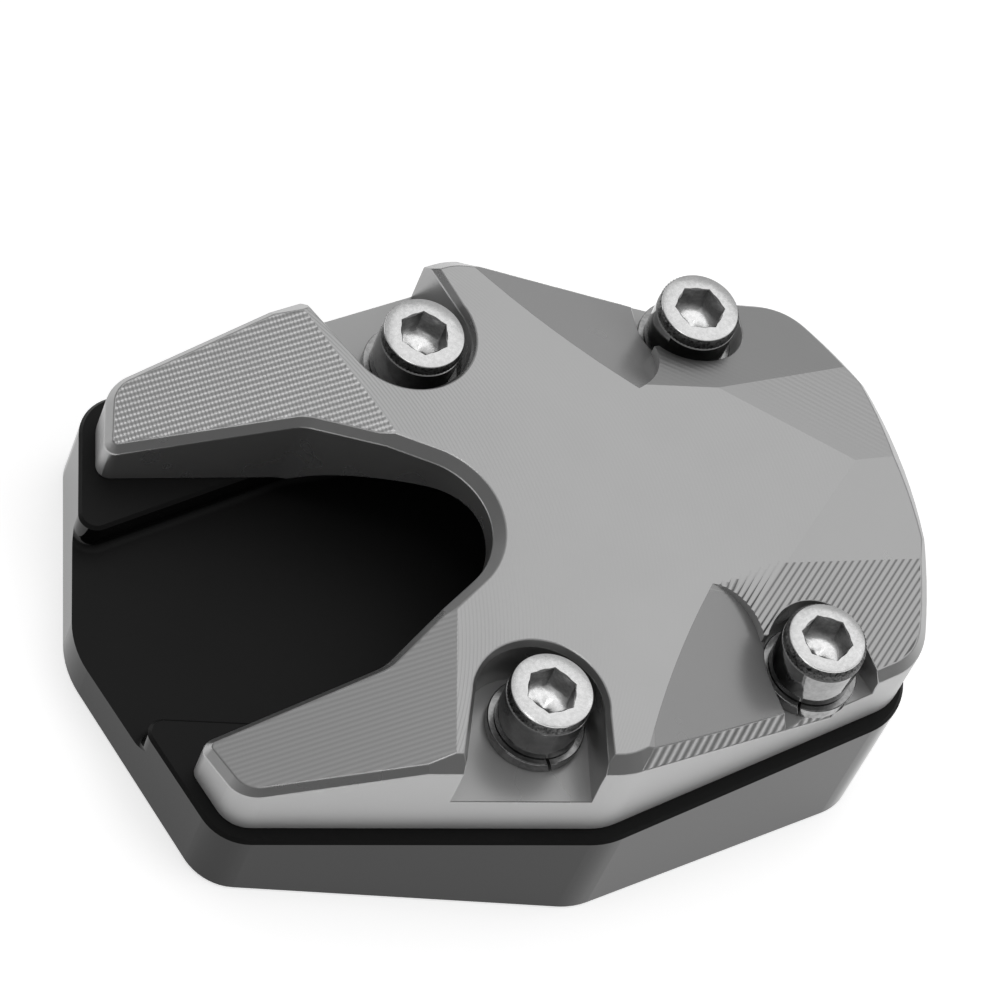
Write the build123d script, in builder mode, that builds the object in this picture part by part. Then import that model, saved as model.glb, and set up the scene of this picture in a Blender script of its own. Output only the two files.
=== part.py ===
from build123d import *
import math
import os

os.makedirs("parts", exist_ok=True)

# Driving sizes, millimetres and degrees; x runs from the fork end to the nose along the deck
wedge_angle = 7.0
deck_height = 17.1
deck_x = 11.82

# Plan outline of the base on the deck, half of a mirrored shape
tail_x = -64.3
tail_round = 12.0
heel_x = -55.8
heel_y = 29.6
heel_round = 6.0
shoulder_x = -10.6
shoulder_y = 37.5
shoulder_round = 10.0
nose_corner_x = 31.1
nose_corner_y = 27.4
nose_corner_round = 9.0
nose_x = 36.9

# Base: channel for the stand's foot, and edge breaks
channel_depth = 3.9
mouth_half = 13.2
throat_x = -33.0
channel_half = 18.2
channel_end_x = 26.0
channel_round = 8.0
floor_fillet = 1.0
mouth_round = 2.0
rim_break = 0.4

# Clamp plate: inset from the base, thickness, chamfers and the arch underneath
ledge = 1.9
nose_ledge = 0.3
clamp_thickness = 14.3
edge_chamfer = 1.8
ramp_chamfer = 0.9
arch_half = 16.0
arch_rise = 10.0

# Fork opening of the clamp plate
fork_round = 9.5
fork_center_x = -26.4
elbow_x = -34.5
elbow_half = 16.3
elbow_round = 5.0
tip_half = 19.3
tip_round = 1.6
fork_chamfer = 1.3

# Sloped facets on top of the clamp plate: a point on the crease, downhill heading, fall
ramp_x = -28.0
ramp_y = 20.75
ramp_heading = 198.0
ramp_fall = 17.3
corner_x = 5.8
corner_y = 14.35
shoulder_heading = 36.3
shoulder_fall = 23.0
shoulder_sweep = 300.0
shoulder_crease = 26.0
flank_heading = 79.0
flank_fall = 16.0
step_x = 11.4
step_y = 20.3
step_round = 7.0
ridge_x = 30.0
nose_heading = 47.9
nose_fall = 6.0
flank_chamfer = 1.1
strip_depth = 1.0
strip_length = 32.0
strip_shift = 5.0

# Screws: positions on the deck, seats and pockets
fork_screw_x = -17.6
fork_screw_y = 24.5
nose_screw_x = 17.6
nose_screw_y = 23.2
seat_height = 6.3
seat_radius = 6.3
seat_margin = 3.0
pocket_x = -18.6
pocket_y = 24.9
pocket_radius = 8.0
pocket_heading = 110.0
pocket_chamfer = 0.8
clearance_hole = 6.6
tapped_hole = 6.2
tapped_depth = 13.0

# Cap screw and split washer, metric six
head_diameter = 10.0
head_height = 7.0
head_chamfer = 0.25
socket_flats = 5.0
socket_depth = 3.2
socket_chamfer = 0.35
shank_diameter = 6.0
shank_length = 20.0
washer_outer = 11.6
washer_inner = 6.3
washer_thickness = 1.6
washer_split = 0.9
fork_split = -90.0
nose_split = -120.0
split_lean = 20.0

# How far the socket of each screw is turned
fork_left_turn = 14.0
fork_right_turn = 5.0
nose_left_turn = 49.0
nose_right_turn = 33.0

# Cutting blocks are longer than the part and run past its edges
span = 120.0
overrun = 5.0
near = 0.01

# The deck plane climbs toward the nose; everything but the ground face is square to it
slope = math.radians(wedge_angle)
deck = Plane(
    origin=(deck_x, 0, deck_height),
    x_dir=(math.cos(slope), 0, math.sin(slope)),
    z_dir=(-math.sin(slope), 0, math.cos(slope)),
)


def on_deck(x, y, z=0.0, turn=0.0):
    return deck.location * Location((x, y, z), (0, 0, turn))


def falling(x, y, heading, fall):
    return on_deck(x, y, clamp_thickness, heading) * Location((0, 0, 0), (0, fall, 0))


def lies_on(edge, plane):
    return all(abs(plane.to_local_coords(edge @ t).Z) < near for t in (0.0, 0.5, 1.0))


def below(edge, height):
    return all(deck.to_local_coords(edge @ t).Z < height + near for t in (0.0, 1.0))


def midpoint(edge):
    return deck.to_local_coords(edge @ 0.5)


def beside_screw(edge):
    return math.hypot(midpoint(edge).X - nose_screw_x, abs(midpoint(edge).Y) - nose_screw_y)


# Blocks that start at a line and rise, and cylinders that hang from their spot
rise = (Align.MIN, Align.CENTER, Align.MIN)
hang = (Align.CENTER, Align.CENTER, Align.MAX)
beside = (Align.MIN, Align.CENTER)

screws = [
    (fork_screw_x, fork_screw_y, fork_left_turn, fork_split),
    (fork_screw_x, -fork_screw_y, fork_right_turn, fork_split),
    (nose_screw_x, nose_screw_y, nose_left_turn, nose_split),
    (nose_screw_x, -nose_screw_y, nose_right_turn, nose_split),
]

side_taper = (shoulder_y - nose_corner_y) / (nose_corner_x - shoulder_x)


def plan(nose_reach):
    """Mirrored six-sided outline with an arc nose, the nose moved out along the tapering sides."""
    end_x = nose_corner_x + nose_reach
    end_y = nose_corner_y - nose_reach * side_taper
    with BuildSketch() as shape:
        with BuildLine():
            Polyline(
                (end_x, end_y),
                (shoulder_x, shoulder_y),
                (heel_x, heel_y),
                (tail_x, 0),
                (heel_x, -heel_y),
                (shoulder_x, -shoulder_y),
                (end_x, -end_y),
            )
            ThreePointArc((end_x, -end_y), (nose_x + nose_reach, 0), (end_x, end_y))
        make_face()
        for corner_at, radius in (
            (tail_x, tail_round),
            (heel_x, heel_round),
            (shoulder_x, shoulder_round),
            (end_x, nose_corner_round),
        ):
            fillet(shape.vertices().filter_by(lambda v: abs(v.X - corner_at) < near), radius)
    return shape.sketch


outline = plan(0)
clamp_outline = offset(plan(ledge - nose_ledge), amount=-ledge)

# Channel in the base: narrow mouth, wider inside, closed toward the nose
with BuildSketch() as channel:
    with BuildLine():
        mouth_x = tail_x - overrun
        mouth_reach = mouth_half - (channel_half - mouth_half) * (heel_x - mouth_x) / (throat_x - heel_x)
        Polyline(
            (mouth_x, mouth_reach),
            (throat_x, channel_half),
            (channel_end_x, channel_half),
            (channel_end_x, -channel_half),
            (throat_x, -channel_half),
            (mouth_x, -mouth_reach),
            (mouth_x, mouth_reach),
        )
    make_face()
    fillet(channel.vertices().filter_by(lambda v: v.X > throat_x - near), channel_round)

# The way in: the channel joined to the space outside the tail, with round jambs between the two
with BuildSketch() as passage:
    add(channel.sketch)
    with BuildLine():
        Polyline(
            (tail_x, 0),
            (heel_x, heel_y),
            (mouth_x, heel_y),
            (mouth_x, -heel_y),
            (heel_x, -heel_y),
            (tail_x, 0),
        )
    make_face()
    jambs = passage.vertices().filter_by(lambda v: v.X < heel_x and mouth_half / 2 < abs(v.Y) < channel_half)
    fillet(jambs, mouth_round)

with BuildPart() as trough:
    with BuildSketch(deck):
        add(passage.sketch)
    extrude(amount=-channel_depth)
    floor = deck.offset(-channel_depth)
    rim = trough.edges().filter_by(lambda e: lies_on(e, floor) and midpoint(e).X > mouth_x + near)
    fillet(rim.filter_by(lambda e: abs(midpoint(e).Y) < heel_y - near), floor_fillet)

# Fork opening: splayed arms, an elbow, then tangents onto a round end
reach = math.hypot(elbow_x - fork_center_x, elbow_half)
lean = math.atan2(elbow_half, elbow_x - fork_center_x) - math.acos(fork_round / reach)
touch_x = fork_center_x + fork_round * math.cos(lean)
touch_y = fork_round * math.sin(lean)
splay = (tip_half - elbow_half) / (elbow_x - heel_x)
open_x = tail_x - overrun
open_half = elbow_half + splay * (elbow_x - open_x)
with BuildSketch() as fork:
    with BuildLine():
        Polyline((touch_x, touch_y), (elbow_x, elbow_half), (open_x, open_half))
        Line((open_x, open_half), (open_x, -open_half))
        Polyline((open_x, -open_half), (elbow_x, -elbow_half), (touch_x, -touch_y))
        ThreePointArc((touch_x, -touch_y), (fork_center_x + fork_round, 0), (touch_x, touch_y))
    make_face()
    fillet(fork.vertices().filter_by(lambda v: abs(v.X - elbow_x) < near), elbow_round)

# Hollow above the shoulder facet, ending in a small curved step beside the nose screw
with BuildPart() as scoop:
    with BuildSketch(deck):
        with Locations((step_x - step_round, step_y)):
            Circle(step_round)
        with Locations((nose_screw_x, step_y)):
            Rectangle(span, span, align=(Align.MAX, Align.MIN))
        with Locations((step_x - step_round, 0)):
            Rectangle(span, span, align=(Align.MAX, Align.MIN))
    extrude(amount=2 * clamp_thickness)
    middle = shoulder_crease / 2
    lift = math.sqrt(shoulder_sweep**2 - middle**2)
    sweep = falling(corner_x, corner_y, shoulder_heading, shoulder_fall) * Location((0, middle, lift), (0, 90, 0))
    with Locations(sweep):
        Cylinder(shoulder_sweep, span, mode=Mode.INTERSECT)
    mirror(about=Plane.XZ)

# Hollow above the flank facet, on the nose side of the line where both facets are level
shoulder_grade = math.tan(math.radians(shoulder_fall))
flank_grade = math.tan(math.radians(flank_fall))
shoulder_up = Vector(0, 0, 1) + Vector(shoulder_grade, 0, 0).rotate(Axis.Z, shoulder_heading)
flank_up = Vector(0, 0, 1) + Vector(flank_grade, 0, 0).rotate(Axis.Z, flank_heading)
level_line = flank_up.cross(shoulder_up)
level_heading = math.degrees(math.atan2(level_line.Y, level_line.X))
with BuildPart() as flank_hollow:
    with Locations(falling(corner_x, corner_y, flank_heading, flank_fall)):
        Box(span, span, span, align=rise)
    with Locations(on_deck(corner_x, corner_y, 0, level_heading)):
        Box(span, span, span, align=(Align.CENTER, Align.MAX, Align.CENTER), mode=Mode.INTERSECT)
    mirror(about=Plane.XZ)

# Chamfer strip along the outer edge of the shoulder facet, leaning midway between facet and wall
side_heading = math.degrees(math.atan2(nose_corner_x - shoulder_x, shoulder_y - nose_corner_y))
wall_out = Vector(1, 0, 0).rotate(Axis.Z, side_heading)
downhill = Vector(1, 0, 0).rotate(Axis.Z, shoulder_heading)
strip_x = (shoulder_x + nose_corner_x) / 2 - ledge * wall_out.X
strip_y = (shoulder_y + nose_corner_y) / 2 - ledge * wall_out.Y
strip_run = (Vector(strip_x, strip_y) - Vector(corner_x, corner_y)).dot(downhill)
strip_z = clamp_thickness - strip_run * shoulder_grade
strip_up = (shoulder_up.normalized() + wall_out).normalized()
strip_face = Plane(
    origin=Vector(strip_x, strip_y, strip_z) - strip_up * strip_depth,
    x_dir=wall_out.cross(shoulder_up),
    z_dir=strip_up,
)
with BuildPart() as strip:
    with Locations(deck.location * strip_face.location * Location((-strip_shift, 0, 0))):
        Box(strip_length, clamp_thickness, clamp_thickness, align=(Align.CENTER, Align.CENTER, Align.MIN))
    mirror(about=Plane.XZ)

# Base plate: outline wall down to the ground face, channel, tapped holes, edge breaks
with BuildPart() as base_plate:
    with BuildSketch(deck):
        add(outline)
    extrude(amount=-span)
    split(bisect_by=Plane.XY, keep=Keep.TOP)
    add(trough.part, mode=Mode.SUBTRACT)
    chamfer(base_plate.edges().filter_by(lambda e: lies_on(e, deck)), rim_break)
    chamfer(base_plate.edges().filter_by(lambda e: lies_on(e, Plane.XY)), rim_break)
    for x, y, turn, gap in screws:
        with Locations(on_deck(x, y)):
            Cylinder(tapped_hole / 2, tapped_depth, align=hang, mode=Mode.SUBTRACT)
base_plate.part.label = "base_plate"
export_step(base_plate.part, "parts/base_plate.step")

# Clamp plate: fork-shaped block bridging the stand's foot
top = deck.offset(clamp_thickness)
brow_height = clamp_thickness - edge_chamfer
brow = deck.offset(brow_height)
seat = deck.offset(seat_height)
arch_radius = (arch_half**2 + arch_rise**2) / (2 * arch_rise)
with BuildPart() as clamp_plate:
    with BuildSketch(deck):
        add(clamp_outline)
    extrude(amount=brow_height)
    with BuildSketch(brow):
        add(clamp_outline)
    extrude(amount=edge_chamfer, taper=45)
    with BuildSketch(deck):
        add(fork.sketch)
    extrude(amount=clamp_thickness, mode=Mode.SUBTRACT)
    with BuildSketch(top):
        add(fork.sketch)
        offset(amount=fork_chamfer, kind=Kind.INTERSECTION)
    extrude(amount=-fork_chamfer, taper=45, mode=Mode.SUBTRACT)
    for side in (1, -1):
        with Locations(falling(ramp_x, side * ramp_y, side * ramp_heading, ramp_fall)):
            Box(span, 2 * ramp_y, span, align=rise, mode=Mode.SUBTRACT)
    upright = clamp_plate.edges().filter_by(Axis(deck.origin, deck.z_dir))
    fillet(upright.sort_by(Axis.X)[0:2], tip_round)
    for side in (1, -1):
        ramp = Plane(falling(ramp_x, side * ramp_y, side * ramp_heading, ramp_fall))
        sloping = clamp_plate.edges().filter_by(lambda e: lies_on(e, ramp))
        chamfer(sloping.filter_by(lambda e: below(e, clamp_thickness - ramp_chamfer / 10)), ramp_chamfer)
    for side in (1, -1):
        with Locations(falling(ridge_x, 0, side * nose_heading, nose_fall)):
            Box(span, span, span, align=rise, mode=Mode.SUBTRACT)
    add(scoop.part, mode=Mode.SUBTRACT)
    add(flank_hollow.part, mode=Mode.SUBTRACT)
    with BuildSketch(seat):
        for side in (1, -1):
            with Locations((nose_screw_x, side * nose_screw_y)):
                Circle(seat_radius)
                Rectangle(span, 2 * seat_radius, rotation=side * side_heading, align=beside)
            with Locations((pocket_x, side * pocket_y)):
                Circle(pocket_radius)
                Rectangle(span, 2 * pocket_radius, rotation=side * pocket_heading, align=beside)
    extrude(amount=clamp_thickness, mode=Mode.SUBTRACT)
    with BuildSketch(top):
        for side in (1, -1):
            with Locations((pocket_x, side * pocket_y)):
                Circle(pocket_radius + pocket_chamfer)
                brim = 2 * pocket_radius + 2 * pocket_chamfer
                Rectangle(span, brim, rotation=side * pocket_heading, align=beside)
    extrude(amount=-pocket_chamfer, taper=45, mode=Mode.SUBTRACT)
    for side in (1, -1):
        flank = Plane(falling(corner_x, side * corner_y, side * flank_heading, flank_fall))
        lower = clamp_plate.edges().filter_by(lambda e: lies_on(e, flank) and below(e, brow_height))
        chamfer(lower.filter_by(lambda e: beside_screw(e) > seat_radius + seat_margin), flank_chamfer)
    add(strip.part, mode=Mode.SUBTRACT)
    for x, y, turn, gap in screws:
        with Locations(on_deck(x, y)):
            Cylinder(clearance_hole / 2, span, mode=Mode.SUBTRACT)
    with Locations(on_deck(0, 0, arch_rise - arch_radius) * Location((0, 0, 0), (0, 90, 0))):
        Cylinder(arch_radius, 2 * span, mode=Mode.SUBTRACT)
clamp_plate.part.label = "clamp_plate"
export_step(clamp_plate.part, "parts/clamp_plate.step")

# Cap screws: socket head on the washer, shank down into the base
washer_top = seat_height + washer_thickness
head_top = washer_top + head_height
with BuildPart() as cap_screws:
    for x, y, turn, gap in screws:
        with Locations(on_deck(x, y, head_top)):
            Cylinder(head_diameter / 2, head_height, align=hang)
    crowns = deck.offset(head_top)
    chamfer(cap_screws.edges().filter_by(lambda e: lies_on(e, crowns)), head_chamfer)
    for x, y, turn, gap in screws:
        with Locations(on_deck(x, y, head_top - head_height / 2)):
            Cylinder(shank_diameter / 2, shank_length + head_height / 2, align=hang)
    with BuildSketch(crowns):
        for x, y, turn, gap in screws:
            with Locations((x, y)):
                RegularPolygon(socket_flats / 2, 6, major_radius=False, rotation=turn)
    extrude(amount=-socket_depth, mode=Mode.SUBTRACT)
    with BuildSketch(crowns):
        for x, y, turn, gap in screws:
            with Locations((x, y)):
                Circle(socket_flats / 2 + 2 * socket_chamfer)
    extrude(amount=-2 * socket_chamfer, taper=45, mode=Mode.SUBTRACT)
cap_screws.part.label = "cap_screws"
export_step(cap_screws.part, "parts/cap_screws.step")

# Lock washers: flat rings cut through by a slanting split
with BuildPart() as lock_washers:
    with BuildSketch(seat):
        for x, y, turn, gap in screws:
            with Locations((x, y)):
                Circle(washer_outer / 2)
                Circle(washer_inner / 2, mode=Mode.SUBTRACT)
    extrude(amount=washer_thickness)
    for x, y, turn, gap in screws:
        slit = on_deck(x, y, seat_height + washer_thickness / 2, gap)
        with Locations(slit * Location((washer_outer / 3, 0, 0), (split_lean, 0, 0))):
            Box(washer_outer / 2, washer_split, 4 * washer_thickness, mode=Mode.SUBTRACT)
lock_washers.part.label = "lock_washers"
export_step(lock_washers.part, "parts/lock_washers.step")
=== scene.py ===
"""Looks of the kickstand foot enlarger: black anodised base, milled grey clamp plate, four plated screws."""

from math import cos, pi, radians, sin, tan

import bmesh
import bpy
from mathutils import Matrix, Quaternion, Vector


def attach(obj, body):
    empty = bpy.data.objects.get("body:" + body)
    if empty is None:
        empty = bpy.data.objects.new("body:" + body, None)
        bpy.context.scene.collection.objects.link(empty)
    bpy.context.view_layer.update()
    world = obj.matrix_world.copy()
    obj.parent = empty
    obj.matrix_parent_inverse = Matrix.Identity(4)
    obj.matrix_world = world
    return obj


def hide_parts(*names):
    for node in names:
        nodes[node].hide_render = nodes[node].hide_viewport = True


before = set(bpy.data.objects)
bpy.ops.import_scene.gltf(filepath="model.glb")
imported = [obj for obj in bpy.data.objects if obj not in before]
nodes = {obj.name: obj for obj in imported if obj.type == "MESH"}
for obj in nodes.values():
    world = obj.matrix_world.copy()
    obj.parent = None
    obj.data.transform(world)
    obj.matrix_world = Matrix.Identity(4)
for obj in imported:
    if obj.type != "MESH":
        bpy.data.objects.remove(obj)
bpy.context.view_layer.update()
scene = bpy.context.scene
scene.view_settings.view_transform = "Standard"

# Sizes are in millimetres and turned to metres by MM; angles are in degrees.
MM = 0.001

# The deck is the sloping face on which the clamp plate lies. Marks and screws are placed in its axes.
DECK_TILT = 7
DECK_X = 11.82
DECK_HEIGHT = 17.1
deck = Matrix.Translation((DECK_X * MM, 0, DECK_HEIGHT * MM)) @ Matrix.Rotation(radians(-DECK_TILT), 4, "Y")
deck_turn = deck.to_3x3()
to_deck = deck.inverted()

# Sloped faces of the clamp plate, by downhill heading and fall.
RAMP_HEADING = 198
RAMP_FALL = 17.3
FLANK_HEADING = 79
FLANK_FALL = 16
SHOULDER_HEADING = 36.3
SHOULDER_FALL = 23
NOSE_HEADING = 47.9
NOSE_FALL = 6
STRIP_HEADING = 65.4
STRIP_FALL = 55.2

# Marks that the ball cutter left on them: the heading that the lines run along, their pitch and their depth.
LEFT_ROWS = (2.2, 0.7, 0.075)
LEFT_FEED = (90, 0.45, 0.021)
RIGHT_ROWS = (0, 0.66, 0.027)
RIGHT_FEED = (90, 0.44, 0.003)
LEFT_RIBS = (-44.5, 0.715, 0.008)
RIGHT_RIBS = (44.5, 0.715, 0.15)
STRIP_RIBS = (77, 1.22, 0.068)
NOSE_HAIRS = (-42, 0.66, 0.004)
CUTS_PER_MARK = 4

# How near to a cutting plane, in metres, a corner counts as lying on it.
CUT_SLACK = 1e-8

# Arcs that the face mill left on the top: strong at the fork, fading to faint towards the nose.
ARC_RADIUS = 53
ARC_PITCH = 0.47
ARCS_FROM = -20
ARCS_TO = -4
STRONG_ARCS = 1.2
FAINT_ARCS = 0.12

# How the clamp plate's sloped faces are found: by spread of slope and by least area in square millimetres.
FACET_SPREAD = 0.6
SWEPT_SPREAD = 3.5
BROAD_FACET = 20
NARROW_FACET = 5
SWEPT_FACET = 1

# How its walls are found: by the share of their normal that points up, and by how far out they lie.
OUTER_LEAN = 0.2
STEP_LEAN = 0.3
OUTER_FROM = 28

# How far above the deck's middle the top face begins.
TOP_FROM = 12

# Copies of the CAD meshes: how corners are matched and welded, and which edges are sharp, flat or outward.
TENTH_MICRONS = 1e7
WELD = 0.0002
CREASE_FROM = 1.5
FLAT_TO = 0.1
CONVEX_FROM = 28
EDGE_BREAK = 0.12

# The curved step between a shoulder facet and the flank facet beside it, in deck axes.
STEP_X = 4.4
STEP_Y = 20.3
STEP_RADIUS = 7.0
STEP_SLACK = 0.2

# Pockets of the fork screws, in deck axes.
POCKET_X = -18.6
POCKET_Y = 24.9
POCKET_RADIUS = 8.0
POCKET_CHAMFER = 0.8
POCKET_FLOOR = 6.3
POCKET_HEADING = 110
POCKET_SLACK = 0.1

# How far the pockets' walls and rims are drawn in around the washers, and flared where they run out.
POCKET_SHIFT = Vector((-0.4, 0.45, 0))
WALL_DRAWN = 0.4
RIM_DRAWN = 0.25
EXIT_FLARE = 0.23
EXIT_FROM = 1
OUTER_WALL = Vector((0.985, 0.172, 0))

# Places of the clamp plate's finishes among its materials; the first, end milled, is on all other faces.
FACE_MILLED = 1
BALL_MILLED = 2
# Shoulders: a darker copy of the aluminium, painted shade.
FINISH_CUT_PAINTED_DARKER = 3
# Outer walls: a paler copy of the aluminium, painted light.
BLASTED_PAINTED_PALE = 4
CONTOURED = 5

# Places of the screws' finishes among their materials.
TURNED = 0
KNURLED = 1
ROLLED = 2
# Socket walls: painted darker as shade.
BROACHED_PAINTED_DARKER = 3
# Socket floor: painted near white as a highlight.
FORGED_PAINTED_BRIGHT = 4

# Screws, in deck axes.
FORK_SCREW_X = -17.6
FORK_SCREW_Y = 24.5
NOSE_SCREW_X = 17.6
NOSE_SCREW_Y = 23.2
HEAD_SEAT = 7.9
HEAD_HEIGHT = 7.0
HEAD_RADIUS = 5.0
HEAD_BREAK = 0.2
HEAD_SIDES = 126
HEAD_CREASE = 30
SHANK_RADIUS = 3.0
SHANK_LENGTH = 20.0
SHANK_BREAK = 0.6
AXIS_RING = 0.02

# The knurled band, the ledge under it, and the round of the rim above it, in steps out and down.
BAND_LOW = 5.5
BAND_GAP = 0.12
BAND_DROP = 0.8
BAND_ROWS = 6
BAND_INSET = 0.03
TOOTH = 0.14
LEDGE_WIDTH = 0.16
LEDGE_DROP = 0.05
RIM_ROUND = [(0.1, 0.14), (0.07, 0.04), (0, 0)]

# The hexagon socket, with its mouth broken and the drill's cone as its floor.
SOCKET_FLATS = 5.3
SOCKET_DEPTH = 3.2
SOCKET_MOUTH = 2.85
SOCKET_BREAK = 0.1
SOCKET_DRILL = 2.4
SOCKET_DISH = 0.75
CONE_RING = 0.25

# Washers: the height of their middle above the deck, and the slanting split and how much of it is closed.
WASHER_MIDDLE = 7.1
WASHER_RADIUS = 5.9
WASHER_SPLIT = 0.9
FORK_SPLIT = -90
NOSE_SPLIT = -120
SPLIT_LEAN = 20
SPLIT_CLOSED = 0.65

# Each screw: its place on the deck, how far its socket is turned, and the radius of its flat rim.
SCREWS = [
    (FORK_SCREW_X, FORK_SCREW_Y, 14, 4.75),
    (FORK_SCREW_X, -FORK_SCREW_Y, 5, 4.75),
    (NOSE_SCREW_X, NOSE_SCREW_Y, 49, 4.65),
    (NOSE_SCREW_X, -NOSE_SCREW_Y, 33, 4.5),
]

# The studio, in metres. Each lamp: name, azimuth, elevation, size, level, and whether metal mirrors it.
LAMPS = [
    ("key softbox", 50, 66, 0.8, 0.3, True),
    ("nose softbox", 0, 42, 0.5, 0.2, True),
    ("overhead softbox", 185, 74, 0.28, 1.7, True),
    ("front fill", -40, 20, 0.9, 1.2, False),
    ("fork fill", 200, 30, 0.9, 0.5, False),
]
LAMP_DISTANCE = 0.9
FLOOR_HALF = 4
FLOOR_DROP = 0.02 * MM
FLOOR_GLOW = 0.65

# The sky: an even level, a bright dome around one direction, and a sweep low behind the object.
SKY_LEVEL = 0.125
DOME_AZIMUTH = 50
DOME_ELEVATION = 66
DOME_LEVEL = 0.65
DOME_FALLOFF = 2.4
SWEEP_AZIMUTH = 40
SWEEP_LEVEL = 0.42
SWEEP_LOW = 0.1
SWEEP_HIGH = 0.5


def paint(code):
    """Linear colour of an sRGB hex code."""
    parts = [int(code[i:i + 2], 16) / 255 for i in (1, 3, 5)]
    return [c / 12.92 if c <= 0.04045 else ((c + 0.055) / 1.055) ** 2.4 for c in parts] + [1]


def add(tree, kind, inputs=None, **settings):
    """Add a node; inputs maps a socket's name or number to a value or to the socket that feeds it."""
    item = tree.nodes.new(kind)
    for name, value in settings.items():
        setattr(item, name, value)
    for name, value in (inputs or {}).items():
        if isinstance(value, bpy.types.NodeSocket):
            tree.links.new(value, item.inputs[name])
        else:
            item.inputs[name].default_value = value
    return item


def blank(name):
    """A new material with an empty node tree."""
    material = bpy.data.materials.new(name)
    material.use_nodes = True
    material.node_tree.nodes.clear()
    return material, material.node_tree


def milled_arcs(tree, place):
    """Waves along the face mill's arcs, fading from the fork to the nose."""
    level = add(tree, "ShaderNodeMapping", {
        "Vector": place,
        "Location": (-DECK_X * MM, 0, -DECK_HEIGHT * MM),
        "Rotation": (0, radians(DECK_TILT), 0),
    })
    axes = add(tree, "ShaderNodeSeparateXYZ", {0: level.outputs[0]})
    square = add(tree, "ShaderNodeMath", {0: axes.outputs["Y"], 1: 2}, operation="POWER")
    inside = add(tree, "ShaderNodeMath", {
        0: (ARC_RADIUS * MM) ** 2, 1: square.outputs[0],
    }, operation="SUBTRACT")
    bow = add(tree, "ShaderNodeMath", {0: inside.outputs[0]}, operation="SQRT")
    feed = add(tree, "ShaderNodeMath", {0: axes.outputs["X"], 1: bow.outputs[0]}, operation="SUBTRACT")
    turns = add(tree, "ShaderNodeMath", {
        0: feed.outputs[0], 1: 2 * pi / (ARC_PITCH * MM),
    }, operation="MULTIPLY")
    wave = add(tree, "ShaderNodeMath", {0: turns.outputs[0]}, operation="SINE")
    fade = add(tree, "ShaderNodeMapRange", {
        "Value": axes.outputs["X"], "From Min": ARCS_FROM * MM, "From Max": ARCS_TO * MM,
        "To Min": STRONG_ARCS, "To Max": FAINT_ARCS,
    })
    return add(tree, "ShaderNodeMath", {0: wave.outputs[0], 1: fade.outputs[0]}, operation="MULTIPLY")


def grey_aluminium(name, colour, roughness, metallic=1.0, arc_height=0.0):
    """Grey anodised aluminium: a satin metal, a little cloudy, with a grain drawn coarse enough to show."""
    patch_size = 9
    grain_size = 0.25
    grain_share = 0.35
    grain_height = 0.003
    cloudiness = 0.03
    material, tree = blank(name)
    place = add(tree, "ShaderNodeTexCoord").outputs["Object"]
    patch = add(tree, "ShaderNodeTexNoise", {"Vector": place, "Scale": 1 / (patch_size * MM), "Detail": 2})
    grain = add(tree, "ShaderNodeTexNoise", {"Vector": place, "Scale": 1 / (grain_size * MM), "Detail": 2})
    height = grain
    if arc_height:
        arcs = milled_arcs(tree, place)
        height = add(tree, "ShaderNodeMath", {
            0: grain.outputs[0], 1: grain_share, 2: arcs.outputs[0],
        }, operation="MULTIPLY_ADD")
    relief = add(tree, "ShaderNodeBump", {
        "Height": height.outputs[0], "Distance": max(arc_height, grain_height) * MM, "Strength": 1,
    })
    haze = add(tree, "ShaderNodeMapRange", {
        "Value": patch.outputs[0], "To Min": roughness - cloudiness, "To Max": roughness + cloudiness,
    })
    shader = add(tree, "ShaderNodeBsdfPrincipled", {
        "Base Color": paint(colour), "Metallic": metallic, "Roughness": haze.outputs[0],
        "Normal": relief.outputs[0],
    })
    add(tree, "ShaderNodeOutputMaterial", {"Surface": shader.outputs[0]})
    return material


def black_aluminium():
    """Black anodised aluminium: a dark dyed oxide skin, dull on milled faces and shiny on smooth walls."""
    # The grain is drawn coarser than the real one, so that it shows.
    grain_size = 0.3
    cloud_size = 14
    grain_height = 0.002
    cloudiness = 0.05
    wall_facing = 0.3
    face_facing = 0.8
    wall_roughness = 0.04
    face_roughness = 0.6
    material, tree = blank("black anodised aluminium, milled")
    spot = add(tree, "ShaderNodeTexCoord")
    place = spot.outputs["Object"]
    grain = add(tree, "ShaderNodeTexNoise", {"Vector": place, "Scale": 1 / (grain_size * MM), "Detail": 3})
    cloud = add(tree, "ShaderNodeTexNoise", {"Vector": place, "Scale": 1 / (cloud_size * MM), "Detail": 3})
    relief = add(tree, "ShaderNodeBump", {
        "Height": grain.outputs[0], "Distance": grain_height * MM, "Strength": 1,
    })
    facing = add(tree, "ShaderNodeSeparateXYZ", {0: spot.outputs["Normal"]})
    dull = add(tree, "ShaderNodeMapRange", {
        "Value": facing.outputs["Z"], "From Min": wall_facing, "From Max": face_facing,
        "To Min": wall_roughness, "To Max": face_roughness,
    })
    haze = add(tree, "ShaderNodeMath", {
        0: cloud.outputs[0], 1: cloudiness, 2: dull.outputs[0],
    }, operation="MULTIPLY_ADD")
    shader = add(tree, "ShaderNodeBsdfPrincipled", {
        "Base Color": paint("#080808"), "Roughness": haze.outputs[0], "IOR": 1.36,
        "Normal": relief.outputs[0],
    })
    add(tree, "ShaderNodeOutputMaterial", {"Surface": shader.outputs[0]})
    return material


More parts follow.
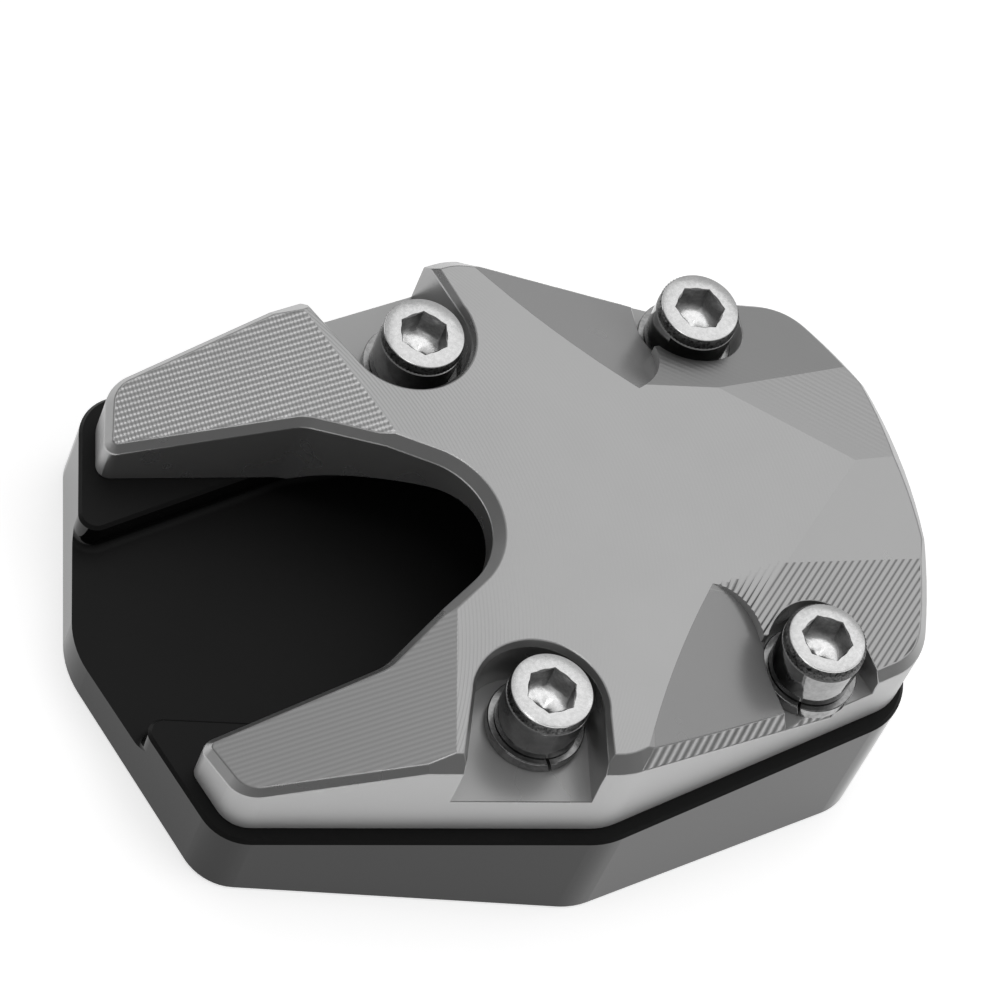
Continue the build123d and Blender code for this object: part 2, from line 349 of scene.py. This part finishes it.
def plated_steel(name, dull, bright, low, high, speck, metallic=1.0):
    """Plated steel: a mirror with a fine haze, mottled by scuffs and oil in specks of that size."""
    scuff_height = 0.012
    dull_to = 0.36
    bright_from = 0.64
    material, tree = blank(name)
    place = add(tree, "ShaderNodeTexCoord").outputs["Object"]
    scuff = add(tree, "ShaderNodeTexNoise", {
        "Vector": place, "Scale": 1 / (speck * MM), "Detail": 4, "Roughness": 0.7,
    })
    relief = add(tree, "ShaderNodeBump", {
        "Height": scuff.outputs[0], "Distance": scuff_height * MM, "Strength": 1,
    })
    share = add(tree, "ShaderNodeMapRange", {
        "Value": scuff.outputs[0], "From Min": dull_to, "From Max": bright_from,
    })
    tint = add(tree, "ShaderNodeMix", {
        0: share.outputs[0], 6: paint(dull), 7: paint(bright),
    }, data_type="RGBA")
    haze = add(tree, "ShaderNodeMapRange", {"Value": share.outputs[0], "To Min": low, "To Max": high})
    shader = add(tree, "ShaderNodeBsdfPrincipled", {
        "Base Color": tint.outputs[2], "Metallic": metallic, "Roughness": haze.outputs[0],
        "Normal": relief.outputs[0],
    })
    add(tree, "ShaderNodeOutputMaterial", {"Surface": shader.outputs[0]})
    return material


def corner_key(point):
    """A place rounded to a tenth of a micron, so that split corners meet."""
    return tuple(round(c * TENTH_MICRONS) for c in point)


def bench_copy(node):
    """A welded copy of a CAD node with flat faces whole and only its true creases marked sharp."""
    mesh = nodes[node].data
    sides = {}
    for face in mesh.polygons:
        corners = []
        for i in face.loop_indices:
            corner = mesh.vertices[mesh.loops[i].vertex_index].co
            corners.append((corner_key(corner), mesh.corner_normals[i].vector.copy()))
        for (a, normal_a), (b, normal_b) in zip(corners, corners[1:] + corners[:1]):
            sides.setdefault(frozenset((a, b)), []).append({a: normal_a, b: normal_b})
    bm = bmesh.new()
    bm.from_mesh(mesh)
    bmesh.ops.remove_doubles(bm, verts=bm.verts, dist=WELD * MM)
    for edge in bm.edges:
        ends = [corner_key(v.co) for v in edge.verts]
        views = sides.get(frozenset(ends), [])
        edge.smooth = len(views) == 2 and all(
            end in views[0] and end in views[1]
            and views[0][end].angle(views[1][end], 0) < radians(CREASE_FROM)
            for end in ends)
    bmesh.ops.dissolve_limit(bm, angle_limit=radians(FLAT_TO), verts=bm.verts, edges=bm.edges,
                             delimit={"SHARP"})
    return bm


def on_step(point):
    """Whether a point lies on the curved step beside a nose screw."""
    spot = to_deck @ point / MM
    out = Vector((spot.x - STEP_X, abs(spot.y) - STEP_Y))
    return spot.x > STEP_X and abs(out.y) < STEP_RADIUS and abs(out.length - STEP_RADIUS) < STEP_SLACK


def break_edges(bm):
    """A small round on every outward edge, apart from the curved steps, which the cutter left crisp."""
    edges = [e for e in bm.edges
             if not e.smooth and e.is_convex and e.calc_face_angle(0) > radians(CONVEX_FROM)
             and not all(on_step(v.co) for v in e.verts)]
    bmesh.ops.bevel(bm, geom=edges, offset=EDGE_BREAK * MM, offset_type="OFFSET", segments=2, profile=0.5,
                    affect="EDGES", clamp_overlap=False)


def draw_pockets(bm):
    """Draw the fork pockets' walls in around the washers and slide their ends along the outer wall."""
    along = Vector((cos(radians(POCKET_HEADING)), sin(radians(POCKET_HEADING)), 0))
    aside = Vector((along.y, -along.x, 0))
    for vert in bm.verts:
        spot = to_deck @ vert.co / MM
        side = 1 if spot.y > 0 else -1
        offset = Vector((spot.x - POCKET_X, side * spot.y - POCKET_Y, 0))
        run = offset.dot(along)
        out = offset - along * max(run, 0)
        rim = (out.length - POCKET_RADIUS) / POCKET_CHAMFER
        if spot.z > POCKET_FLOOR - POCKET_SLACK and -POCKET_SLACK < rim < 1 + POCKET_SLACK:
            at_exit = run > EXIT_FROM
            drawn = (-EXIT_FLARE if at_exit else WALL_DRAWN) + rim * RIM_DRAWN
            move = POCKET_SHIFT - out.normalized() * drawn
            if at_exit:
                move = OUTER_WALL * (move.dot(aside) / OUTER_WALL.dot(aside))
            vert.co = deck @ ((spot + Vector((move.x, side * move.y, 0))) * MM)


def facet_normal(heading, fall):
    """Normal, in the row frame, of a face that falls from the deck's level towards a heading."""
    lean = sin(radians(fall))
    slope = Vector((cos(radians(heading)) * lean, sin(radians(heading)) * lean, cos(radians(fall))))
    return deck_turn @ slope


def facet_faces(bm, normal, smallest=0, spread=FACET_SPREAD):
    """Faces within a few degrees of that normal and of more than that area in square millimetres."""
    return [f for f in bm.faces
            if f.normal.angle(normal, pi) < radians(spread) and f.calc_area() > smallest * MM ** 2]


def slice_faces(bm, faces, across, step):
    """Cut faces by evenly spaced planes square to a direction."""
    reach = [v.co.dot(across) for f in faces for v in f.verts]
    work = list(faces)
    done = []
    cut = (int(min(reach) // step) + 1) * step
    while cut < max(reach):
        geom = set(work)
        for f in work:
            geom.update(f.edges)
            geom.update(f.verts)
        out = bmesh.ops.bisect_plane(bm, geom=list(geom), dist=CUT_SLACK, plane_co=across * cut,
                                     plane_no=across)
        pieces = [g for g in out["geom"] if isinstance(g, bmesh.types.BMFace)]
        done += [f for f in pieces if f.calc_center_median().dot(across) < cut]
        work = [f for f in pieces if f.calc_center_median().dot(across) >= cut]
        cut += step
    return done + work


def mill(bm, faces, passes, top):
    """Sink cutter marks into faces, each pass by heading, pitch and depth; their crests stay in place."""
    normal = faces[0].normal.copy()
    waves = []
    for heading, pitch, depth in passes:
        along = deck_turn @ Vector((cos(radians(heading)), sin(radians(heading)), 0))
        across = normal.cross(along).normalized()
        faces = slice_faces(bm, faces, across, pitch * MM / CUTS_PER_MARK)
        waves.append((across, pitch * MM, depth * MM))
    marked = set(faces)
    uphill = (normal - top * normal.dot(top)).normalized() * -1
    top_slip = sin(normal.angle(top))
    for vert in {v for f in faces for v in f.verts}:
        sink = sum(depth * (0.5 - 0.5 * cos(2 * pi * vert.co.dot(across) / pitch))
                   for across, pitch, depth in waves)
        at_crease = any(f not in marked and f.normal.angle(top, pi) < radians(FACET_SPREAD)
                        for f in vert.link_faces)
        vert.co += uphill * sink / top_slip if at_crease else normal * -sink
    for face in faces:
        face.material_index = BALL_MILLED
    bm.normal_update()


def place_piece(bm, name, node, materials):
    """Make a mesh piece that stands for a CAD node."""
    mesh = bpy.data.meshes.new(name)
    bm.to_mesh(mesh)
    bm.free()
    for face in mesh.polygons:
        face.use_smooth = True
    for material in materials:
        mesh.materials.append(material)
    piece = bpy.data.objects.new(name, mesh)
    scene.collection.objects.link(piece)
    weigh = piece.modifiers.new("weigh", "WEIGHTED_NORMAL")
    weigh.keep_sharp = True
    weigh.weight = 100
    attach(piece, "root")
    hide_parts(node)


def clamp_piece():
    """The clamp plate with its edges broken and its sloped faces marked by the ball cutter."""
    bm = bench_copy("clamp_plate")
    draw_pockets(bm)
    break_edges(bm)
    bm.normal_update()
    top = facet_normal(0, 0)
    for face in facet_faces(bm, top):
        height = (face.calc_center_median() - deck.translation).dot(top)
        face.material_index = FACE_MILLED if height > TOP_FROM * MM else CONTOURED
    for face in bm.faces:
        lean = abs(face.normal.dot(top))
        reach = (face.calc_center_median() - deck.translation).dot(face.normal)
        # Outer walls take the finish painted paler as light.
        if lean < OUTER_LEAN and reach > OUTER_FROM * MM:
            face.material_index = BLASTED_PAINTED_PALE
        if lean < STEP_LEAN and on_step(face.calc_center_median()):
            face.material_index = CONTOURED
    left = (1, LEFT_ROWS, LEFT_FEED, LEFT_RIBS)
    right = (-1, RIGHT_ROWS, RIGHT_FEED, RIGHT_RIBS)
    for side, rows, feed, ribs in (left, right):
        ramp = facet_faces(bm, facet_normal(side * RAMP_HEADING, RAMP_FALL), BROAD_FACET)
        mill(bm, ramp, [rows, feed], top)
        flank = facet_faces(bm, facet_normal(side * FLANK_HEADING, FLANK_FALL), NARROW_FACET)
        mill(bm, flank, [ribs], top)
        strip = facet_faces(bm, facet_normal(side * STRIP_HEADING, STRIP_FALL), NARROW_FACET)
        heading, pitch, depth = STRIP_RIBS
        mill(bm, strip, [(-side * heading, pitch, depth)], top)
        # The shoulders take the finish painted darker as shade.
        shoulder = facet_normal(side * SHOULDER_HEADING, SHOULDER_FALL)
        for face in facet_faces(bm, shoulder, SWEPT_FACET, SWEPT_SPREAD):
            face.material_index = FINISH_CUT_PAINTED_DARKER
    mill(bm, facet_faces(bm, facet_normal(NOSE_HEADING, NOSE_FALL), BROAD_FACET), [NOSE_HAIRS], top)
    place_piece(bm, "milled_clamp_plate", "clamp_plate", [
        # Chamfers and inner walls, cut by an end mill: an even satin that darkens away from the light.
        grey_aluminium("grey anodised aluminium, end milled", "#AFAFAF", 0.28, metallic=0.8),
        # The top, cut by a face mill: dull, with faint curved lines.
        grey_aluminium("grey anodised aluminium, face milled", "#B3B3B3", 0.36, arc_height=0.012),
        # Sloped faces, cut by a ball mill: bright, so that their rows and ribs catch the light.
        grey_aluminium("grey anodised aluminium, ball milled", "#AFAFAF", 0.3),
        # Shoulders, with a last fine cut: smooth, and a little darker: painted shade, a darker copy of the
        # same aluminium.
        grey_aluminium("grey anodised aluminium, finish cut, painted darker", "#A3A3A3", 0.26, metallic=0.55),
        # Outer walls, blasted: reflections blurred away, and pale: painted light, a paler copy of the same
        # aluminium.
        grey_aluminium("grey anodised aluminium, blasted, painted pale", "#C4C4C4", 0.42, metallic=0.5),
        # Pocket floors and curved steps, cut along their outline: smooth, with soft reflections.
        grey_aluminium("grey anodised aluminium, contour milled", "#AFAFAF", 0.28, metallic=0.45),
    ])


def on_deck(x, y, height, turn):
    """A place on the deck, turned about its upright."""
    return deck @ Matrix.Translation((x * MM, y * MM, height * MM)) @ Matrix.Rotation(radians(turn), 4, "Z")


def washer_piece():
    """The split washers with their edges broken and their ends pressed together, as under a tight screw."""
    bm = bench_copy("lock_washers")
    break_edges(bm)
    for x, y, *_ in SCREWS:
        place = on_deck(x, y, WASHER_MIDDLE, FORK_SPLIT if x < 0 else NOSE_SPLIT)
        to_place = place.inverted()
        for vert in bm.verts:
            spot = to_place @ vert.co
            side = spot.y + spot.z * tan(radians(SPLIT_LEAN))
            if 0 < spot.x < WASHER_RADIUS * MM and abs(side) < WASHER_SPLIT * MM:
                spot.y -= side * SPLIT_CLOSED
                vert.co = place @ spot
    place_piece(bm, "sprung_lock_washers", "lock_washers", [
        # Coiled from wire and plated: a grey mirror with a little haze.
        plated_steel("spring steel, zinc plated", "#868686", "#A6A6A6", 0.12, 0.22, 0.9),
    ])


def socket_radius(k):
    """Distance from the axis to the hexagon's wall at the k-th side of the turned head."""
    sixth = HEAD_SIDES // 6
    return SOCKET_FLATS / 2 / cos(2 * pi * (k % sixth) / HEAD_SIDES - pi / 6)


def screw_rings(rim):
    """Rings of radius and height from the shank's end to the socket's floor, and the finish above each."""
    stem = [
        (AXIS_RING, -SHANK_LENGTH),
        (SHANK_RADIUS - SHANK_BREAK, -SHANK_LENGTH),
        (SHANK_RADIUS, SHANK_BREAK - SHANK_LENGTH),
        (SHANK_RADIUS, 0),
        (HEAD_RADIUS - HEAD_BREAK, 0),
        (HEAD_RADIUS, HEAD_BREAK),
        (HEAD_RADIUS, BAND_LOW - HEAD_BREAK),
        (HEAD_RADIUS - LEDGE_WIDTH, BAND_LOW - LEDGE_DROP),
    ]
    rings = [[spot] * HEAD_SIDES for spot in stem]
    band_high = HEAD_HEIGHT - BAND_GAP - BAND_DROP * (HEAD_RADIUS - rim)
    for row in range(BAND_ROWS + 1):
        z = BAND_LOW + (band_high - BAND_LOW) * row / BAND_ROWS
        rings.append([(HEAD_RADIUS - BAND_INSET - TOOTH * ((k + row) % 2), z) for k in range(HEAD_SIDES)])
    rings += [[(rim + out, HEAD_HEIGHT - down)] * HEAD_SIDES for out, down in RIM_ROUND]
    walls = [socket_radius(k) for k in range(HEAD_SIDES)]
    mouth = [(wall, max(SOCKET_MOUTH - wall, SOCKET_BREAK)) for wall in walls]
    floor = HEAD_HEIGHT - SOCKET_DEPTH
    rings += [
        [(wall + flare, HEAD_HEIGHT) for wall, flare in mouth],
        [(wall, HEAD_HEIGHT - flare) for wall, flare in mouth],
        [(wall, floor) for wall in walls],
    ]
    cone = [
        (SOCKET_DRILL, floor),
        (SOCKET_DRILL * CONE_RING, floor - (1 - CONE_RING) * SOCKET_DISH),
        (AXIS_RING, floor - SOCKET_DISH),
    ]
    rings += [[spot] * HEAD_SIDES for spot in cone]
    finishes = [ROLLED] * (len(stem) - 2) + [TURNED] + [KNURLED] * (BAND_ROWS + 2)
    # The socket's walls take the finish painted darker as shade, and its floor the one painted bright as a
    # highlight.
    finishes += [TURNED] * (len(RIM_ROUND) + 1) + [BROACHED_PAINTED_DARKER] + [FORGED_PAINTED_BRIGHT] * len(cone)
    return rings, finishes


def turn_screw(bm, x, y, turn, rim):
    """Add one screw, standing on its washer at a spot of the deck."""
    place = on_deck(x, y, HEAD_SEAT, turn)
    rings, finishes = screw_rings(rim)
    loops = []
    for ring in rings:
        points = [Vector((r * cos(2 * pi * k / HEAD_SIDES), r * sin(2 * pi * k / HEAD_SIDES), z)) * MM
                  for k, (r, z) in enumerate(ring)]
        loops.append([bm.verts.new(place @ point) for point in points])
    for low, high, finish in zip(loops, loops[1:], finishes):
        for k in range(HEAD_SIDES):
            after = (k + 1) % HEAD_SIDES
            face = bm.faces.new((low[k], low[after], high[after], high[k]))
            face.material_index = finish
    bm.faces.new(reversed(loops[0])).material_index = ROLLED
    bm.faces.new(loops[-1]).material_index = FORGED_PAINTED_BRIGHT


def screws_piece():
    """Four cap screws with a knurled band under the rim and a hexagon socket."""
    bm = bmesh.new()
    for screw in SCREWS:
        turn_screw(bm, *screw)
    bm.normal_update()
    for edge in bm.edges:
        edge.smooth = edge.calc_face_angle(0) < radians(HEAD_CREASE)
    place_piece(bm, "turned_cap_screws", "cap_screws", [
        # The rim and the ledge under the band, turned and plated: bright and lightly mottled.
        plated_steel("steel, turned and zinc plated", "#D0D0D0", "#DEDEDE", 0.2, 0.12, 0.5),
        # The band, knurled: painted near black as the shade in its teeth, with brighter specks at random.
        plated_steel("steel, knurled, painted dark as shade in the teeth", "#020202", "#808080", 0.4, 0.25, 0.4,
                     metallic=0.7),
        # The head's side and the shank, rolled: a clear mirror, darker than the rim.
        plated_steel("steel, rolled, darker than the rim", "#8C8C8C", "#A0A0A0", 0.06, 0.1, 1.2),
        # The socket's walls, broached: dull, and painted darker grey as the shade inside the socket.
        plated_steel("steel, broached, painted shade", "#909090", "#B0B0B0", 0.38, 0.3, 0.5),
        # The socket's floor, forged and plated: painted near white, a painted highlight, the brightest spot.
        plated_steel("steel, forged and zinc plated, painted bright", "#EEEEEE", "#FAFAFA", 0.2, 0.14, 0.5),
    ])


def heading_to(azimuth, elevation):
    """Direction from the object towards a place in the studio."""
    level = cos(radians(elevation))
    return Vector((cos(radians(azimuth)) * level, sin(radians(azimuth)) * level, sin(radians(elevation))))


def white_floor():
    """A white card that keeps the object's shadow; it glows for the camera and in reflections alone."""
    corners = [(-FLOOR_HALF, -FLOOR_HALF, 0), (FLOOR_HALF, -FLOOR_HALF, 0),
               (FLOOR_HALF, FLOOR_HALF, 0), (-FLOOR_HALF, FLOOR_HALF, 0)]
    mesh = bpy.data.meshes.new("floor")
    mesh.from_pydata(corners, [], [(0, 1, 2, 3)])
    floor = bpy.data.objects.new("floor", mesh)
    floor.location.z = -FLOOR_DROP
    scene.collection.objects.link(floor)
    material, tree = blank("white card")
    ray = add(tree, "ShaderNodeLightPath")
    seen = add(tree, "ShaderNodeMath", {
        0: ray.outputs["Is Camera Ray"], 1: ray.outputs["Is Glossy Ray"],
    }, operation="ADD")
    seen = add(tree, "ShaderNodeMath", {
        0: seen.outputs[0], 1: ray.outputs["Is Transmission Ray"],
    }, operation="ADD", use_clamp=True)
    lift = add(tree, "ShaderNodeMath", {0: seen.outputs[0], 1: FLOOR_GLOW}, operation="MULTIPLY")
    card = add(tree, "ShaderNodeBsdfDiffuse", {"Color": paint("#D8D8D8")})
    glow = add(tree, "ShaderNodeEmission", {"Color": paint("#FFFFFF"), "Strength": lift.outputs[0]})
    both = add(tree, "ShaderNodeAddShader", {0: card.outputs[0], 1: glow.outputs[0]})
    add(tree, "ShaderNodeOutputMaterial", {"Surface": both.outputs[0]})
    mesh.materials.append(material)


def studio_sky():
    """A soft sky, brightest above and behind the object as the photo sees it."""
    world = bpy.data.worlds.new("studio")
    world.use_nodes = True
    tree = world.node_tree
    tree.nodes.clear()
    way = add(tree, "ShaderNodeTexCoord").outputs["Generated"]
    toward = add(tree, "ShaderNodeVectorMath", {
        0: way, 1: heading_to(DOME_AZIMUTH, DOME_ELEVATION),
    }, operation="DOT_PRODUCT")
    front = add(tree, "ShaderNodeMath", {0: toward.outputs["Value"], 1: 0}, operation="MAXIMUM")
    dome = add(tree, "ShaderNodeMath", {0: front.outputs[0], 1: DOME_FALLOFF}, operation="POWER")
    level = add(tree, "ShaderNodeMath", {
        0: dome.outputs[0], 1: DOME_LEVEL, 2: SKY_LEVEL,
    }, operation="MULTIPLY_ADD")
    behind = add(tree, "ShaderNodeVectorMath", {
        0: way, 1: heading_to(SWEEP_AZIMUTH, 0),
    }, operation="DOT_PRODUCT")
    low = add(tree, "ShaderNodeMapRange", {
        "Value": add(tree, "ShaderNodeSeparateXYZ", {0: way}).outputs["Z"],
        "From Min": SWEEP_LOW, "From Max": SWEEP_HIGH, "To Min": SWEEP_LEVEL, "To Max": 0,
    }, interpolation_type="SMOOTHSTEP")
    sweep = add(tree, "ShaderNodeMath", {0: behind.outputs["Value"], 1: low.outputs[0]}, operation="MULTIPLY")
    sweep = add(tree, "ShaderNodeMath", {0: sweep.outputs[0], 1: 0}, operation="MAXIMUM")
    total = add(tree, "ShaderNodeMath", {0: level.outputs[0], 1: sweep.outputs[0]}, operation="ADD")
    sky = add(tree, "ShaderNodeBackground", {"Color": paint("#FFFFFF"), "Strength": total.outputs[0]})
    add(tree, "ShaderNodeOutputWorld", {"Surface": sky.outputs[0]})
    scene.world = world


def softbox(name, azimuth, elevation, size, level, mirrored):
    """A square lamp facing the object; at level 1 its face is as bright as white paper."""
    lamp = bpy.data.lights.new(name, "AREA")
    lamp.shape = "SQUARE"
    lamp.size = size
    lamp.energy = level * pi * size ** 2
    box = bpy.data.objects.new(name, lamp)
    way = heading_to(azimuth, elevation)
    box.location = way * LAMP_DISTANCE
    box.rotation_euler = way.to_track_quat("Z", "Y").to_euler()
    box.visible_glossy = mirrored
    scene.collection.objects.link(box)


def photo_camera():
    """The camera where the photograph was taken from."""
    spot = Vector((-308.95, -292.38, 518.84)) * MM
    aim = Vector((0.58, 6.87, 20)) * MM
    roll = 34.05
    lens = bpy.data.cameras.new("photo camera")
    lens.sensor_width = 36
    lens.lens = 201.6
    lens.clip_start = 0.01
    camera = bpy.data.objects.new("photo camera", lens)
    camera.location = spot
    turn = (aim - spot).to_track_quat("-Z", "Y") @ Quaternion((0, 0, 1), radians(roll))
    camera.rotation_euler = turn.to_euler()
    scene.collection.objects.link(camera)
    scene.camera = camera


photo_camera()
white_floor()
studio_sky()
for studio_lamp in LAMPS:
    softbox(*studio_lamp)
nodes["base_plate"].material_slots[0].material = black_aluminium()
clamp_piece()
screws_piece()
washer_piece()
